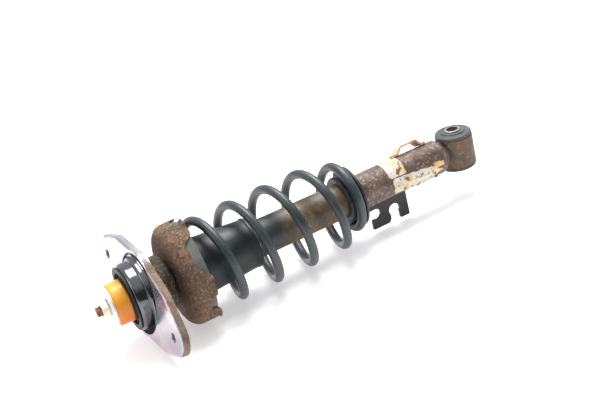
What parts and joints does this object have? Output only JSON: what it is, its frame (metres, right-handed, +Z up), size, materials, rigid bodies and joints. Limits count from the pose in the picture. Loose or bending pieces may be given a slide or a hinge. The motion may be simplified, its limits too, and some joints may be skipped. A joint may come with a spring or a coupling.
{
  "type": "suspension strut",
  "caption": "Suspension strut: oil damper inside a coil spring, bolted top mount with a rubber core above, bushed eye and a slotted hose bracket below.",
  "frame": {"origin": "on the piston rod axis, in the face of the top plate that bolts to the car", "axes": "+X along the piston rod from the top mount to the lower eye, +Z up along the lower eye bore"},
  "size_m": [0.47, 0.1967, 0.1142],
  "materials": {
    "bright_plating": "smooth bright plating on the face, rust on the edges",
    "rusted_steel": "rusted, rough, with remains of black paint",
    "rusted_tube": "rusty brown tube with remains of dark paint",
    "gloss_black": "smooth dark plating, high gloss",
    "spring_coating": "satin blue-grey powder coating",
    "charcoal_plate": "worn charcoal coating on sheet steel",
    "ground_steel": "ground and chromed",
    "zinc_steel": "yellowish zinc plating",
    "plain_steel": "machined steel",
    "orange_urethane": "slightly clear orange polyurethane",
    "black_rubber": "moulded rubber, satin",
    "grey_rubber": "dusty grey rubber",
    "dust_plastic": "satin black plastic",
    "foam": "yellowish polyurethane foam",
    "paper_label": "torn stained paper",
    "seal_plastic": "glass-filled low-friction plastic"
  },
  "bodies": {
    "damper_body": {"outer_tube": "rusted_tube", "tube_cap": "plain_steel", "oil_seal": "black_rubber", "rod_guide": "plain_steel", "inner_cylinder": "plain_steel", "base_valve": "plain_steel", "tube_end_cap": "rusted_tube", "lower_spring_seat": "spring_coating", "lower_spring_pad": "black_rubber", "coil_spring": "spring_coating", "hose_bracket": "charcoal_plate", "line_clip": "rusted_steel", "label_upper": "paper_label", "label_lower": "paper_label", "eye_ring": "rusted_tube", "eye_bush": "grey_rubber"},
    "piston_rod": {"piston_rod": "ground_steel", "piston": "plain_steel", "piston_band": "seal_plastic", "valve_shims": "plain_steel", "piston_nut": "plain_steel", "rebound_stop": "seal_plastic"},
    "upper_set": {"rod_nut": "zinc_steel", "top_washer": "zinc_steel", "upper_bush": "orange_urethane", "support_washer": "black_rubber", "mount_core": "plain_steel", "upper_spring_seat": "rusted_steel", "upper_spring_pad": "grey_rubber", "bump_stop_cup": "plain_steel", "bump_stop": "foam", "dust_tube": "dust_plastic"},
    "mount_housing": {"mount_can": "gloss_black", "face_seal": "black_rubber", "top_plate": "bright_plating", "neck_cup": "rusted_steel", "mount_rubber": "black_rubber"},
    "eye_sleeve": {"eye_sleeve": "plain_steel"}
  },
  "joints": [
    {"name": "damper_stroke", "type": "slide", "parent": "damper_body", "child": "piston_rod", "axis": [1, 0, 0], "range_m": [0, 0.058], "stiffness_N_per_m": 25000, "springref_m": -0.035, "deforming": ["coil_spring", "bump_stop"]},
    {"name": "top_swivel", "type": "hinge", "parent": "piston_rod", "child": "upper_set", "pos_m": [0, 0, 0], "axis": [1, 0, 0], "continuous": true},
    {"name": "mount_tilt", "type": "hinge", "parent": "upper_set", "child": "mount_housing", "pos_m": [0.01, 0, 0], "axis": [0, 1, 0], "range_deg": [-3, 3], "stiffness_Nm_per_rad": 120, "deforming": ["mount_rubber"]},
    {"name": "eye_twist", "type": "hinge", "parent": "damper_body", "child": "eye_sleeve", "pos_m": [0.402, 0, 0], "axis": [0, 0, 1], "range_deg": [-20, 20], "stiffness_Nm_per_rad": 15}
  ]
}
